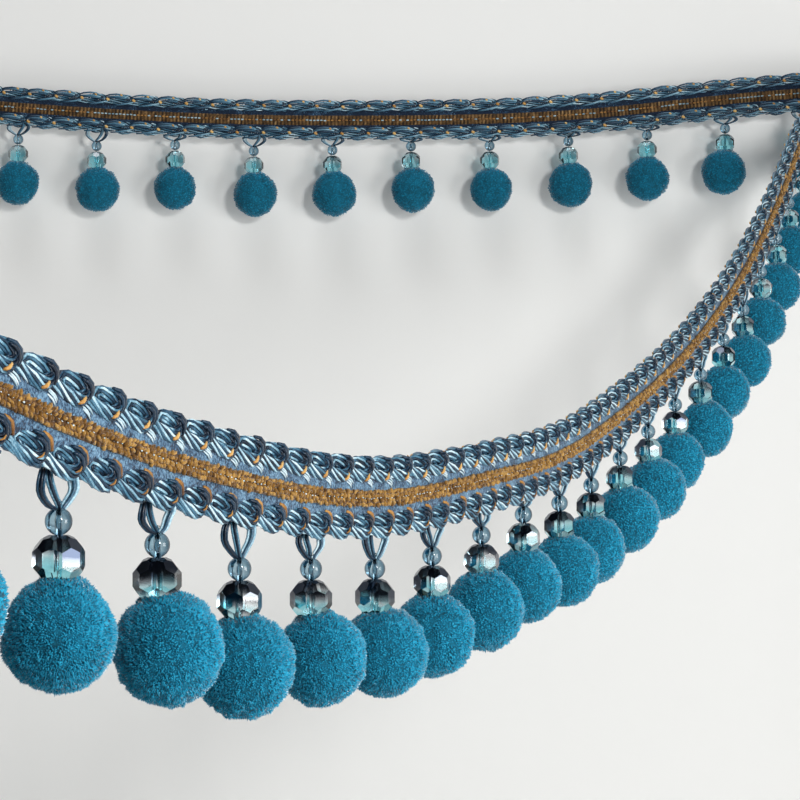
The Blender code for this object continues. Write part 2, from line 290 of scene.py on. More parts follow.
class Route:
    """The braid's centre line as a smooth curve, read by the length along it."""

    def __init__(self, rows):
        knots = np.array(rows, dtype=float)
        places = travelled(knots)
        spans = np.diff(places)
        bends = self.natural_bends(spans, knots)
        reads = np.linspace(0.0, places[-1], ROUTE_SAMPLES)
        row = np.clip(np.searchsorted(places, reads) - 1, 0, len(spans) - 1)
        span = spans[row][:, None]
        after = (reads[:, None] - places[row][:, None]) / span
        before = 1.0 - after
        bend_before = (before**3 - before) * bends[row]
        bend_after = (after**3 - after) * bends[row + 1]
        straight = before * knots[row] + after * knots[row + 1]
        self.points = straight + (bend_before + bend_after) * span**2 / 6.0
        self.lengths = travelled(self.points)

    @staticmethod
    def natural_bends(spans, knots):
        """Second derivatives of the natural cubic spline through the knots."""
        matrix = np.eye(len(knots))
        for i in range(1, len(spans)):
            matrix[i, i - 1 : i + 2] = spans[i - 1], 2 * (spans[i - 1] + spans[i]), spans[i]
        known = np.zeros_like(knots)
        known[1:-1] = 6 * np.diff(np.diff(knots, axis=0) / spans[:, None], axis=0)
        return np.linalg.solve(matrix, known)

    def point(self, along):
        return np.stack([np.interp(along, self.lengths, self.points[:, k]) for k in range(3)], axis=-1)

    def ways(self, along):
        """Directions along the braid, up across it, and out of its front face."""
        tangent = unit(self.point(along + 1.0) - self.point(along - 1.0))
        across = unit(UP - tangent * tangent[..., 2:])
        return tangent, across, np.cross(tangent, across)

    def place(self, along, level, out):
        """Points at lengths along the braid, at levels across it, and out from its middle."""
        along, level, out = np.broadcast_arrays(along, level, out)
        _, across, front = self.ways(along)
        return self.point(along) + across * level[..., None] + front * out[..., None]


def unit(vectors):
    return vectors / np.linalg.norm(vectors, axis=-1, keepdims=True)


def read(table, at):
    """Values of a table of (place, value) rows, at places between its rows."""
    return np.interp(at, *np.array(table).T)


def travelled(points):
    """How far along a line through the points each of them lies."""
    return np.concatenate([[0.0], np.cumsum(np.linalg.norm(np.diff(points, axis=0), axis=1))])


def smooth_path(knots, steps):
    """Points on a smooth curve through a few knots, (knots, 3) in and (steps, 3) out."""
    knots = np.vstack([2 * knots[0] - knots[1], knots, 2 * knots[-1] - knots[-2]])
    reads = np.linspace(0.0, len(knots) - 3 - 1e-9, steps)
    index = reads.astype(int)
    t = (reads - index)[:, None]
    p0, p1, p2, p3 = (knots[index + k] for k in range(4))
    return 0.5 * (
        2 * p1 + (p2 - p0) * t + (2 * p0 - 5 * p1 + 4 * p2 - p3) * t**2 + (3 * p1 - p0 - 3 * p2 + p3) * t**3
    )


def round_axis(angle, radius, height):
    """Points at an angle round an upright axis, at a distance from it and at a height."""
    return np.stack(np.broadcast_arrays(radius * np.cos(angle), radius * np.sin(angle), height), axis=-1)


def linked(name, data):
    """A new object of the data, linked into the scene."""
    thing = bpy.data.objects.new(name, data)
    bpy.context.collection.objects.link(thing)
    return thing


class Shapes:
    """Many small shapes gathered for one mesh. Every point has a tone: 0 or less is dark, 1 is light."""

    def __init__(self):
        self.points = []
        self.tones = []
        self.faces = []
        self.count = 0

    def add(self, points, tone, *blocks):
        """Add points and blocks of faces. Each block is an array with one row of corners a face."""
        flat = points.reshape(-1, 3)
        self.points.append(flat)
        self.tones.append(np.broadcast_to(tone, points.shape[:-1]).ravel())
        self.faces += [block.reshape(-1, block.shape[-1]) + self.count for block in blocks]
        self.count += len(flat)

    def make(self, name, material, slot, smooth=True):
        """Make the mesh in metres and link it as one piece of the root body."""
        points = np.concatenate(self.points) * MM
        sides = np.concatenate([np.full(len(block), block.shape[1]) for block in self.faces])
        corners = np.concatenate([block.ravel() for block in self.faces])
        mesh = bpy.data.meshes.new(name)
        mesh.vertices.add(len(points))
        mesh.vertices.foreach_set("co", points.ravel())
        mesh.loops.add(len(corners))
        mesh.loops.foreach_set("vertex_index", corners)
        mesh.polygons.add(len(sides))
        mesh.polygons.foreach_set("loop_start", np.cumsum(sides) - sides)
        mesh.polygons.foreach_set("use_smooth", np.full(len(sides), smooth))
        mesh.attributes.new("tone", "FLOAT", "POINT").data.foreach_set("value", np.concatenate(self.tones))
        mesh.update(calc_edges=True)
        mesh.materials.append(MATERIALS[material])
        piece = linked(name, mesh)
        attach(piece, "root")
        return piece


def add_tubes(shapes, paths, radius, sides, face_to, tone):
    """Skin many threads at once. paths is an array of (threads, steps, 3); both ends are closed."""
    tangent = unit(np.gradient(paths, axis=1))
    side = unit(np.cross(tangent, face_to))
    lift = np.cross(side, tangent)
    angle = TURN * (np.arange(sides) + 0.5) / sides
    turn = np.cos(angle)[:, None] * side[:, :, None] + np.sin(angle)[:, None] * lift[:, :, None]
    radius = np.broadcast_to(radius, paths.shape[:2])[:, :, None, None]
    points = paths[:, :, None] + radius * turn
    index = np.arange(points[..., 0].size).reshape(points.shape[:3])
    turned = np.roll(index, -1, axis=2)
    walls = np.stack([index[:, :-1], index[:, 1:], turned[:, 1:], turned[:, :-1]], axis=-1)
    tones = np.broadcast_to(tone, paths.shape[:2])[:, :, None]
    shapes.add(points, tones, walls, index[:, 0], index[:, -1, ::-1])


def add_slab(shapes, front, back, tone):
    """Close a thin slab between two grids of points, (rows, columns, 3) each."""
    index = np.arange(front[..., 0].size).reshape(front.shape[:2])
    face = np.stack([index[:-1, :-1], index[1:, :-1], index[1:, 1:], index[:-1, 1:]], axis=-1)
    rim = np.concatenate([index[:, 0], index[-1, 1:], index[-2::-1, -1], index[0, -2:0:-1]])
    after = np.roll(rim, -1)
    wall = np.stack([after, rim, rim + index.size, after + index.size], axis=-1)
    shapes.add(np.stack([front, back]), tone, face, face[..., ::-1] + index.size, wall)


GOLDEN = (1.0 + math.sqrt(5.0)) / 2.0
BLOB_POINTS = unit(
    np.array([np.roll((0.0, a, b), -turn) for turn in range(3) for a in (-1, 1) for b in (-GOLDEN, GOLDEN)])
)


def blob_faces():
    """The twenty triangles of the icosahedron, wound outwards."""
    edge = min(np.linalg.norm(BLOB_POINTS[0] - p) for p in BLOB_POINTS[1:]) * 1.01
    faces = []
    for i, j, k in combinations(range(len(BLOB_POINTS)), 3):
        a, b, c = BLOB_POINTS[[i, j, k]]
        if max(np.linalg.norm(a - b), np.linalg.norm(b - c), np.linalg.norm(c - a)) < edge:
            outward = np.dot(np.cross(b - a, c - a), a) > 0
            faces.append((i, j, k) if outward else (i, k, j))
    return np.array(faces)


BLOB_FACES = blob_faces()


def add_blobs(shapes, centres, axes, tone):
    """Add small rounded lumps. axes is (lumps, 3, 3), the three half axes of each."""
    points = centres[:, None] + np.einsum("pk,nkc->npc", BLOB_POINTS, axes)
    step = np.arange(len(centres))[:, None, None] * len(BLOB_POINTS)
    shapes.add(points, np.broadcast_to(tone, len(centres))[:, None], BLOB_FACES + step)


def half_axes(ways, halves, size=1.0):
    """The half axes of lumps that lie along three directions, each lump with its size."""
    return np.stack([way * half for way, half in zip(ways, halves)], axis=1) * size


# ---- materials ----


class Shading:
    """A material's nodes, made and linked in short calls."""

    def __init__(self, name, **constants):
        self.material = bpy.data.materials.new(name)
        self.material.use_nodes = True
        self.nodes = self.material.node_tree.nodes
        self.links = self.material.node_tree.links
        self.surface = self.nodes["Principled BSDF"]
        for socket, value in constants.items():
            self.surface.inputs[socket.replace("_", " ")].default_value = value

    def attribute(self, name):
        node = self.nodes.new("ShaderNodeAttribute")
        node.attribute_name = name
        return node.outputs["Fac"]

    def noise(self, scale, detail=2.0, roughness=0.5):
        node = self.nodes.new("ShaderNodeTexNoise")
        place = self.nodes.new("ShaderNodeTexCoord").outputs["Object"]
        self.links.new(place, node.inputs["Vector"])
        node.inputs["Scale"].default_value = scale
        node.inputs["Detail"].default_value = detail
        node.inputs["Roughness"].default_value = roughness
        return node.outputs["Fac"]

    def math(self, operation, *values, clamp=False):
        """Work with values that are outputs of nodes or plain numbers."""
        node = self.nodes.new("ShaderNodeMath")
        node.operation = operation
        node.use_clamp = clamp
        for socket, value in zip(node.inputs, values):
            if isinstance(value, bpy.types.NodeSocket):
                self.links.new(value, socket)
            else:
                socket.default_value = value
        return node.outputs[0]

    def centred(self, value):
        """A value between 0 and 1, moved down to lie about 0."""
        return self.math("SUBTRACT", value, 0.5)

    def blend(self, *parts):
        """Add up values, each times its weight, and keep the sum between 0 and 1."""
        total = 0.0
        for value, weight in parts:
            total = self.math("MULTIPLY_ADD", value, weight, total)
        return self.math("ADD", total, 0.0, clamp=True)

    def ramp(self, value, *stops):
        node = self.nodes.new("ShaderNodeValToRGB")
        self.links.new(value, node.inputs["Fac"])
        while len(node.color_ramp.elements) < len(stops):
            node.color_ramp.elements.new(0.5)
        for element, (position, colour) in zip(node.color_ramp.elements, stops):
            element.position = position
            element.color = (*colour, 1.0)
        return node.outputs["Color"]

    def span(self, value, low, high):
        node = self.nodes.new("ShaderNodeMapRange")
        self.links.new(value, node.inputs["Value"])
        node.inputs["To Min"].default_value = low
        node.inputs["To Max"].default_value = high
        return node.outputs["Result"]

    def bump(self, height, strength, distance):
        node = self.nodes.new("ShaderNodeBump")
        node.inputs["Strength"].default_value = strength
        node.inputs["Distance"].default_value = distance
        self.links.new(height, node.inputs["Height"])
        self.links.new(node.outputs["Normal"], self.surface.inputs["Normal"])

    def finish(self, **sockets):
        for socket, value in sockets.items():
            self.links.new(value, self.surface.inputs[socket.replace("_", " ")])
        return self.material


def yarn_material(name, stops, roughness, sheen):
    """Satin yarn: the tone picks the colour, with fine fibres that break it up."""
    shade = Shading(name, Sheen_Weight=sheen, Sheen_Roughness=0.35, Specular_IOR_Level=0.4)
    fibres = shade.noise(2600.0, detail=3.0)
    mix = shade.blend((shade.attribute("tone"), 1.0), (shade.centred(fibres), 0.55))
    shade.bump(fibres, 0.35, 0.0001)
    return shade.finish(
        Base_Color=shade.ramp(mix, *stops),
        Roughness=shade.span(fibres, roughness - 0.1, roughness + 0.12),
    )


def cloth_material(name, stops, scale, grain, depth):
    """Matt cloth: speckled colour at one scale, with bumps of the same grain."""
    shade = Shading(name, Sheen_Weight=0.25, Sheen_Roughness=0.5, Specular_IOR_Level=0.25)
    speckle = shade.noise(scale, detail=3.0, roughness=0.6)
    broad = shade.noise(scale / 9.0)
    mix = shade.blend(
        (shade.attribute("tone"), 1.0),
        (shade.centred(speckle), grain),
        (shade.centred(broad), 0.5 * grain),
    )
    shade.bump(speckle, 0.6, depth)
    return shade.finish(Base_Color=shade.ramp(mix, *stops), Roughness=shade.span(speckle, 0.7, 0.95))


# How fast a mirror coat fades towards the lighter parts of the glass
PLATING_FADE = 2.2


def glass_material(name, stops, roughness, rim_painted_shade, plating=0.0):
    """Glass whose colour follows the tone, uneven from bead to bead and within one, as pressed glass is.

    Where plating is more than 0, its dark parts have a mirror coat.
    """
    shade = Shading(name, Transmission_Weight=1.0, IOR=1.47, Specular_IOR_Level=0.5)
    cloud = shade.noise(110.0)
    smear = shade.noise(420.0)
    # The rim is painted darker where the glass is seen edge-on: a painted dark outline
    rim = shade.nodes.new("ShaderNodeLayerWeight").outputs["Facing"]
    mix = shade.blend(
        (shade.attribute("tone"), 1.0),
        # each facet's painted reflection
        (shade.attribute("facet"), 1.0),
        (shade.centred(cloud), 0.6),
        (rim, -rim_painted_shade),
    )
    shade.bump(smear, 0.05, 0.0001)
    if plating:
        coat = shade.math("MULTIPLY_ADD", mix, -PLATING_FADE * plating, plating, clamp=True)
        shade.finish(Metallic=coat)
    return shade.finish(
        Base_Color=shade.ramp(mix, *stops),
        Roughness=shade.span(smear, roughness, roughness + 0.06),
    )


PILE_STOPS = (
    # tone, colour
    (0.0, (0.009, 0.066, 0.100)),
    (0.3, (0.010, 0.200, 0.340)),
    (0.6, (0.022, 0.375, 0.600)),
    (1.0, (0.130, 0.640, 0.860)),
)


def pile_material():
    """Cut pile: the tone paints shade between the tufts and light at their ends, in soft uneven patches."""
    shade = Shading(
        "pompom_velvet",
        Sheen_Weight=0.9,
        Sheen_Roughness=0.3,
        Sheen_Tint=(0.95, 0.98, 1.0, 1.0),
        Specular_IOR_Level=0.1,
    )
    patches = shade.noise(420.0, detail=3.0, roughness=0.65)
    fibres = shade.noise(1500.0)
    mix = shade.blend(
        (shade.attribute("tone"), 1.0),
        (shade.centred(patches), 0.45),
        (shade.centred(fibres), 0.25),
    )
    colour = shade.ramp(mix, *PILE_STOPS)
    return shade.finish(Base_Color=colour, Roughness=shade.span(fibres, 0.8, 1.0))


GIMP_STOPS = (
    # tone, colour
    (0.0, (0.0015, 0.007, 0.020)),
    (0.3, (0.012, 0.050, 0.100)),
    (0.6, (0.080, 0.220, 0.330)),
    (0.85, (0.380, 0.620, 0.750)),
    (1.0, (0.700, 0.880, 0.950)),
)
MATERIALS = {
    "gimp": yarn_material("gimp_satin", GIMP_STOPS, roughness=0.32, sheen=0.05),
    "gold_thread": yarn_material(
        "gold_satin",
        ((0.0, (0.10, 0.03, 0.004)), (0.5, (0.50, 0.24, 0.05)), (1.0, (0.85, 0.55, 0.20))),
        roughness=0.38, sheen=0.1,
    ),
    "pale_thread": yarn_material(
        "pale_satin",
        ((0.0, (0.16, 0.30, 0.38)), (0.5, (0.50, 0.68, 0.76)), (1.0, (0.85, 0.95, 1.0))),
        roughness=0.35, sheen=0.2,
    ),
    "ground": cloth_material(
        "ground_crepe",
        ((0.0, (0.005, 0.016, 0.040)), (0.3, (0.038, 0.102, 0.190)), (1.0, (0.225, 0.410, 0.580))),
        scale=1900.0, grain=2.6, depth=0.0005,
    ),
    "chenille": cloth_material(
        "chenille_pile",
        ((0.0, (0.070, 0.026, 0.003)), (0.5, (0.265, 0.128, 0.018)), (1.0, (0.52, 0.30, 0.08))),
        scale=1700.0, grain=0.9, depth=0.0003,
    ),
    "reverse": cloth_material(
        "reverse_ribs",
        ((0.0, (0.018, 0.010, 0.004)), (0.5, (0.130, 0.068, 0.022)), (1.0, (0.40, 0.25, 0.11))),
        scale=1500.0, grain=0.6, depth=0.0003,
    ),
    "small_bead": glass_material(
        "small_bead_glass",
        ((0.0, (0.015, 0.04, 0.07)), (0.5, (0.15, 0.32, 0.45)), (1.0, (0.48, 0.64, 0.72))),
        roughness=0.08, rim_painted_shade=1.25,
    ),
    "faceted_bead": glass_material(
        "faceted_bead_glass",
        (
            (0.0, (0.040, 0.050, 0.075)),
            (0.28, (0.17, 0.19, 0.22)),
            (0.45, (0.72, 0.74, 0.76)),
            (0.62, (0.42, 0.66, 0.72)),
            (0.8, (0.22, 0.60, 0.70)),
            (1.0, (0.36, 0.80, 0.87)),
        ),
        roughness=0.03, rim_painted_shade=0.5, plating=0.95,
    ),
    "nylon": glass_material(
        "nylon_thread",
        ((0.0, (0.6, 0.6, 0.57)), (1.0, (0.94, 0.94, 0.90))),
        roughness=0.05, rim_painted_shade=0.1,
    ),
    "pile": pile_material(),
}


# ---- the braid ----


def woven_ground(route):
    """The blue ground, a sheet with thinner margins under the gimps."""
    rng = np.random.default_rng(3)
    along = np.arange(0.0, TRIM_LENGTH + 0.01, GROUND_STEP)
    level, half = np.array(GROUND_COLUMNS).T
    jog = rng.normal(0.0, GROUND_JOG, (2, len(along), len(level)))
    along, level = np.meshgrid(along, level, indexing="ij")
    front = route.place(along, level, half + jog[0])
    back = route.place(along, level, -half + jog[1])
    # The margins and the reverse are painted darker, as painted shade
    tone = np.where(np.abs(level) > GROUND_MARGIN, MARGIN_PAINTED_SHADE, FACE_TONE)
    shapes = Shapes()
    add_slab(shapes, front, back, np.stack([tone, np.full_like(tone, REVERSE_PAINTED_SHADE)]))
    piece = shapes.make("woven_ground", "ground", "ground_weave")
    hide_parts("ground_band")


def chenille_stripe(route):
    """Two rows of looped pile on each side of a groove, on a backing strip."""
    rng = np.random.default_rng(5)
    half = STRIPE_WIDTH / 2
    share, crest = np.array(CHENILLE_CRESTS).T
    along = np.arange(0.0, TRIM_LENGTH + 0.01, CHENILLE_STEP)
    along, level = np.meshgrid(along, share * half, indexing="ij")
    shapes = Shapes()
    # The backing strip is painted dark at tone 0.1, as painted shade between the loops
    add_slab(shapes, route.place(along, level, crest), route.place(along, level, CHENILLE_BACK), 0.1)
    for side in (-1, 1):
        for share, crest in CHENILLE_ROWS:
            place = np.arange(0.45 + 0.4 * share, TRIM_LENGTH - 0.3, CHENILLE_PITCH)
            place = place + rng.normal(0.0, 0.22, len(place))
            lift = side * share * half + rng.normal(0.0, 0.13, len(place))
            out = crest + rng.normal(0.0, 0.14, len(place))
            tangent, across, front = route.ways(place)
            slant = unit(across * side + tangent * rng.normal(CHENILLE_LEAN, 0.55, (len(place), 1)))
            size = rng.uniform(0.75, 1.2, (len(place), 1, 1))
            axes = half_axes((slant, np.cross(front, slant), front), CHENILLE_LOOP, size)
            add_blobs(shapes, route.place(place, lift, out), axes, rng.uniform(0.12, 0.95, len(place)))
    piece = shapes.make("chenille_loops", "chenille", "gold_chenille")
    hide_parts("chenille_stripe")


def groove_flecks(route):
    """Pale ends that show in the groove of the gold stripe: metallic thread, painted pale as its glints."""
    rng = np.random.default_rng(6)
    place = np.arange(1.0, TRIM_LENGTH - 1.0, FLECK_PITCH)
    place = place + rng.uniform(-0.4, 0.4, len(place))
    axes = half_axes(route.ways(place), FLECK, rng.uniform(0.6, 1.25, (len(place), 1, 1)))
    centres = route.place(place, rng.normal(0.0, 0.12, len(place)), FLECK_OUT)
    shapes = Shapes()
    add_blobs(shapes, centres, axes, rng.uniform(0.35, 1.0, len(place)))
    shapes.make("groove_flecks", "pale_thread", "gimp_yarn")


def reverse_stripe(route):
    """The brown ribbed stripe on the reverse, with its chain of stitches."""
    rng = np.random.default_rng(7)
    along = np.arange(int(TRIM_LENGTH / RIB_PITCH) * RIB_STEPS + 1) * RIB_PITCH / RIB_STEPS
    level, height = np.array(RIB_COLUMNS).T
    wave = (1.0 - RIB_VALLEY) * np.abs(np.sin(math.pi * along / RIB_PITCH))[:, None]
    depth = RIB_BASE - (RIB_VALLEY + wave) * height
    along, level = np.meshgrid(along, level, indexing="ij")
    # Lighter on the ribs' crests and darker in the valleys between them as painted shade, with a random
    # speckle
    tone = 0.02 + 1.10 * wave + rng.normal(0.0, 0.20, depth.shape)
    shapes = Shapes()
    front = route.place(along, level, RIB_ROOT)
    add_slab(shapes, front, route.place(along, level, depth), np.stack([tone, tone]))
    shapes.make("reverse_stripe", "reverse", "gold_chenille")
    reverse_chain(route, rng)


def reverse_chain(route, rng):
    """The chain of stitches, a link to each rib, partly gold and partly pale."""
    place = np.arange(1.2, TRIM_LENGTH - 1.0, RIB_PITCH)
    axes = half_axes(route.ways(place), CHAIN_LINK)
    centres = route.place(place, rng.normal(0.0, 0.06, len(place)), CHAIN_OUT)
    pale = (place % PALE_EVERY < PALE_STRETCH) | (rng.uniform(0.0, 1.0, len(place)) > 1.0 - PALE_SHARE)
    for name, material, slot, shown in (
        ("reverse_chain", "gold_thread", "gold_chenille", ~pale),
        ("reverse_flecks", "pale_thread", "gimp_yarn", pale),
    ):
        links = Shapes()
        add_blobs(links, centres[shown], axes[shown], rng.uniform(0.0, 0.5, np.count_nonzero(shown)))
        links.make(name, material, slot)


class GimpLine:
    """The looping path that every thread of one gimp follows, with a little unevenness."""

    def __init__(self, level, seed):
        rng = np.random.default_rng(seed)
        self.level = level
        self.knots = np.arange(PICOTS + 1)
        self.uneven = rng.normal(0.0, 1.0, (len(GIMP_SWAY), PICOTS + 1))

    def read(self, turns, across, out):
        """Length along the trim, level and out, for a thread at a place in the bundle's section."""
        sway = [size * np.interp(turns, self.knots, row) for size, row in zip(GIMP_SWAY, self.uneven)]
        angle = TURN * turns
        sweep = GIMP_SWEEP + sway[0]
        rise = GIMP_RISE + sway[1]
        along = PICOT_PITCH * turns + sweep * np.sin(angle)
        swell = 0.5 + 0.5 * np.cos(angle - GIMP_DIP_PLACE)
        dip = GIMP_DIP * swell**GIMP_DIP_POWER
        level = self.level - rise * np.cos(angle) - dip + sway[2]
        fade = 0.5 * GIMP_DIP * GIMP_DIP_POWER * swell ** (GIMP_DIP_POWER - 1)
        run_along = PICOT_PITCH + TURN * sweep * np.cos(angle)
        run_level = TURN * (rise * np.sin(angle) + fade * np.sin(angle - GIMP_DIP_PLACE))
        run = np.hypot(run_along, run_level)
        lean = GIMP_FORWARD + (GIMP_DEPTH + sway[3]) * np.sin(angle)
        return along - across * run_level / run, level + across * run_along / run, lean + out


def gimp_threads(shapes, route, line, seed):
    """The blue threads of one gimp, each one unbroken from end to end."""
    rng = np.random.default_rng(seed)
    turns = np.append((np.arange(PICOTS)[:, None] + np.array(GIMP_STEPS)).ravel(), PICOTS)
    along, level, _ = line.read(turns, 0.0, 0.0)
    travel = travelled(np.stack([along, level], axis=1))
    lay = TURN * GIMP_TWIST * PICOTS * travel / travel[-1]
    lay = lay + TURN * np.arange(len(GIMP_TONES))[:, None] / len(GIMP_TONES)
    along, level, out = line.read(turns, GIMP_HALF_WIDTH * np.cos(lay), GIMP_HALF_THICKNESS * np.sin(lay))
    along = np.clip(along, 0.0, TRIM_LENGTH)
    paths = route.place(along, level, out)
    # Along each loop the tone is painted highlight and shade; each thread's own lightness and a speckle of
    # painted glints are added, less where the loop is painted dark
    base = read(GIMP_PAINTED_SHADING, turns % 1.0)
    tone = base + (0.4 + base) * (np.array(GIMP_TONES)[:, None] + rng.normal(0.0, 0.2, along.shape))
    add_tubes(shapes, paths, THREAD_RADIUS, 4, route.ways(along)[2], np.clip(tone, 0.0, 1.0))


def loop_threads(yarns, route, rng):
    """The short threads, one of each kind in every loop."""
    for yarn, gimp_names, radius, first, last, knots in LOOP_THREADS:
        local = smooth_path(np.array(knots), LOOP_THREAD_STEPS)
        share = np.linspace(0.0, 1.0, LOOP_THREAD_STEPS)
        for name in gimp_names:
            start = np.arange(PICOTS)[:, None] * PICOT_PITCH + rng.normal(0.0, 0.18, (PICOTS, 1))
            along = np.clip(start + local[:, 0], 0.0, TRIM_LENGTH)
            lift = GIMP_LEVELS[name] + local[:, 1] + rng.normal(0.0, 0.08, (PICOTS, 1))
            paths = route.place(along, lift, local[:, 2])
            girth = radius * (0.7 + 0.3 * np.sin(math.pi * share))
            # From the first tone to the last: painted highlight and shade along the thread; the dark front
            # blue threads are painted shade over the loop's right side
            tone = first + (last - first) * share + rng.normal(0.0, 0.06, (PICOTS, 1))
            add_tubes(yarns[yarn], paths, girth, 4, route.ways(along)[2], np.clip(tone, 0.0, 1.0))


def reverse_dots(shapes, route, level, rng):
    """The gold thread again, where it comes out between the threads on the reverse."""
    for shift, lift, size in REVERSE_DOTS:
        place = np.arange(PICOTS) * PICOT_PITCH + shift + rng.normal(0.0, 0.2, PICOTS)
        tangent, across, front = route.ways(place)
        slant = unit(tangent + across * 0.5)
        axes = half_axes((slant, np.cross(front, slant), front), DOT, size)
        centres = route.place(place, level + lift + rng.normal(0.0, 0.1, PICOTS), DOT_OUT)
        add_blobs(shapes, centres, axes, rng.uniform(0.5, 1.0, PICOTS))


def gimps(route):
    """Both gimps, with their short blue threads, the gold and the pale stitches."""
    rng = np.random.default_rng(11)
    yarns = {"blue": Shapes(), "gold": Shapes(), "pale": Shapes()}
    loop_threads(yarns, route, rng)
    for seed, (name, level) in enumerate(GIMP_LEVELS.items(), 20):
        shapes = Shapes()
        gimp_threads(shapes, route, GimpLine(level, seed), seed + 10)
        piece = shapes.make(f"{name}_threads", "gimp", "gimp_yarn")
        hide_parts(name)
        reverse_dots(yarns["gold"], route, level, rng)
    yarns["blue"].make("gimp_floats", "gimp", "gimp_yarn")
    yarns["gold"].make("gimp_gold_threads", "gold_thread", "gold_chenille")
    yarns["pale"].make("gimp_stitches", "pale_thread", "gimp_yarn")


# ---- the drops ----


def hang_frames(route):
    """Each drop's hang point and its level directions along the braid and out of its front."""
    along = (np.arange(len(DROPS)) + 0.5) * DROP_PITCH
    front = route.ways(along)[2]
    hang = route.place(along, HANG_LEVEL, HANG_OUT)
    return hang, np.cross(UP, front), front


def bead_places(frames, depth, raised=0.0):
    """The point at a depth below every drop's hang point, on the line of its beads.

    Drops of the back run have it higher by what is raised.
    """
    hang, _, front = frames
    longer = np.array([row[2] for row in DROPS])
    drop = depth + longer - np.interp(hang[:, 1], BACK_RUN, (0.0, raised))
    return hang + front * BEADS_AHEAD - UP * drop[:, None]


# Each leg of a hanger loop as knots from the gimp down to the small bead. A depth counts in shares of
# the way from the lower gimp's edge to the bead.
HANGER_LEGS = (
    # tone, girth, (aside, ahead, depth_share) ...
    (0.10, 1.1,
        ((-3.0, 0.2, -0.35), (-4.1, 0.0, 0.10), (-3.9, 0.1, 0.50), (-2.2, 0.6, 0.88), (-0.4, 1.1, 1.06))),
    (0.36, 1.0,
        ((-2.3, 0.6, -0.35), (-2.0, 0.7, 0.10), (-1.1, 0.9, 0.55), (-0.2, 1.1, 0.90), (0.2, 1.2, 1.08))),
    (0.64, 1.5,
        ((3.0, 2.1, -0.35), (3.7, 2.2, 0.10), (3.3, 2.0, 0.45), (1.9, 1.6, 0.82), (0.6, 1.3, 1.06))),
)
HANGER_STEPS = 10
HANGER_THREAD = 0.27
# Where the lower gimp's edge lies below the hang point, and the loop's end above the small bead's centre
HANGER_EDGE = 2.6
HANGER_END = 2.2
# Loops are nearly closed towards the turn and wide on the back run
LOOP_OPENING = (
    # drop's place in the row, opening
    (2, 1.0),
    (3, 0.92),
    (4, 0.8),
    (6, 0.72),
    (7, 0.45),
    (18, 0.45),
    (22, 1.15),
)
HANGER_BUNDLE = (
    # aside, ahead, tone
    (-0.44, -0.14, 0.26),
    (0.40, -0.18, -0.24),
    (0.0, 0.02, 0.24),
    (-0.36, 0.30, -0.26),
    (0.38, 0.26, 0.18),
)
HANGER_PINCH = (
    # share of the leg's length, how far apart its threads lie
    (0.0, 1.0),
    (0.3, 1.25),
    (0.8, 0.9),
    (1.0, 0.45),
)


def hanger_loops(frames):
    """The yarn loops under the lower gimp, three legs of five threads each."""
    rng = np.random.default_rng(41)
    hang, along_way, front = frames
    raised = np.interp(hang[:, 1], BACK_RUN, (0.0, SMALL_BEAD_RAISED))
    opening = read(LOOP_OPENING, np.arange(len(DROPS)))
    pinch = read(HANGER_PINCH, np.linspace(0.0, 1.0, HANGER_STEPS))[:, None]
    contrast = np.array([[row[2]] for row in HANGER_BUNDLE])
    shapes = Shapes()
    for index, (_, _, longer, _) in enumerate(DROPS):
        bead_top = SMALL_BEAD_CENTRE - HANGER_END + longer - raised[index]
        spread = np.array([along_way[index] * a + front[index] * b for a, b, _ in HANGER_BUNDLE])
        for tone, girth, leg in HANGER_LEGS:
            knots = np.array(leg)
            knots[:, 2] = HANGER_EDGE + knots[:, 2] * (bead_top - HANGER_EDGE)
            knots[1:-1, :2] += rng.normal(0.0, 0.18, (3, 2))
            knots[:, 0] *= opening[index]
            aside, ahead, depth = smooth_path(knots, HANGER_STEPS).T[:, :, None]
            path = hang[index] + aside * along_way[index] + ahead * front[index] - depth * UP
            paths = path + girth * spread[:, None] * pinch
            tones = np.clip(tone + contrast + rng.uniform(-0.08, 0.08, contrast.shape), 0.0, 1.0)
            add_tubes(shapes, paths, HANGER_THREAD * girth**0.5, 4, front[index], tones)
    shapes.make("hanger_loops", "gimp", "gimp_yarn")


SMALL_BEAD_RADIUS = 2.35
SMALL_BEAD_RINGS = 13
SMALL_BEAD_SIDES = 20
SMALL_BEAD_TONE = 0.9
BORE = 0.45


def small_beads(frames):
    """The small round glass beads, in rings from the lower rim of the bore up to the upper one."""
    start = math.asin(BORE / SMALL_BEAD_RADIUS)
    slope = np.linspace(math.pi - start, start, SMALL_BEAD_RINGS)[:, None]
    around = TURN * np.arange(SMALL_BEAD_SIDES) / SMALL_BEAD_SIDES
    bead = SMALL_BEAD_RADIUS * round_axis(around, np.sin(slope), np.cos(slope))
    places = bead_places(frames, SMALL_BEAD_CENTRE, SMALL_BEAD_RAISED)
    index = np.arange(len(places) * bead[..., 0].size).reshape(-1, *bead.shape[:2])
    after = np.roll(index, -1, axis=1)
    walls = np.stack([index, np.roll(index, -1, axis=2), np.roll(after, -1, axis=2), after], axis=-1)
    shapes = Shapes()
    shapes.add(places[:, None, None] + bead, SMALL_BEAD_TONE, walls)
    shapes.make("small_beads", "small_bead", "bead_glass")


FACETED_BEAD_SINK = 0.4
FACETS = 8
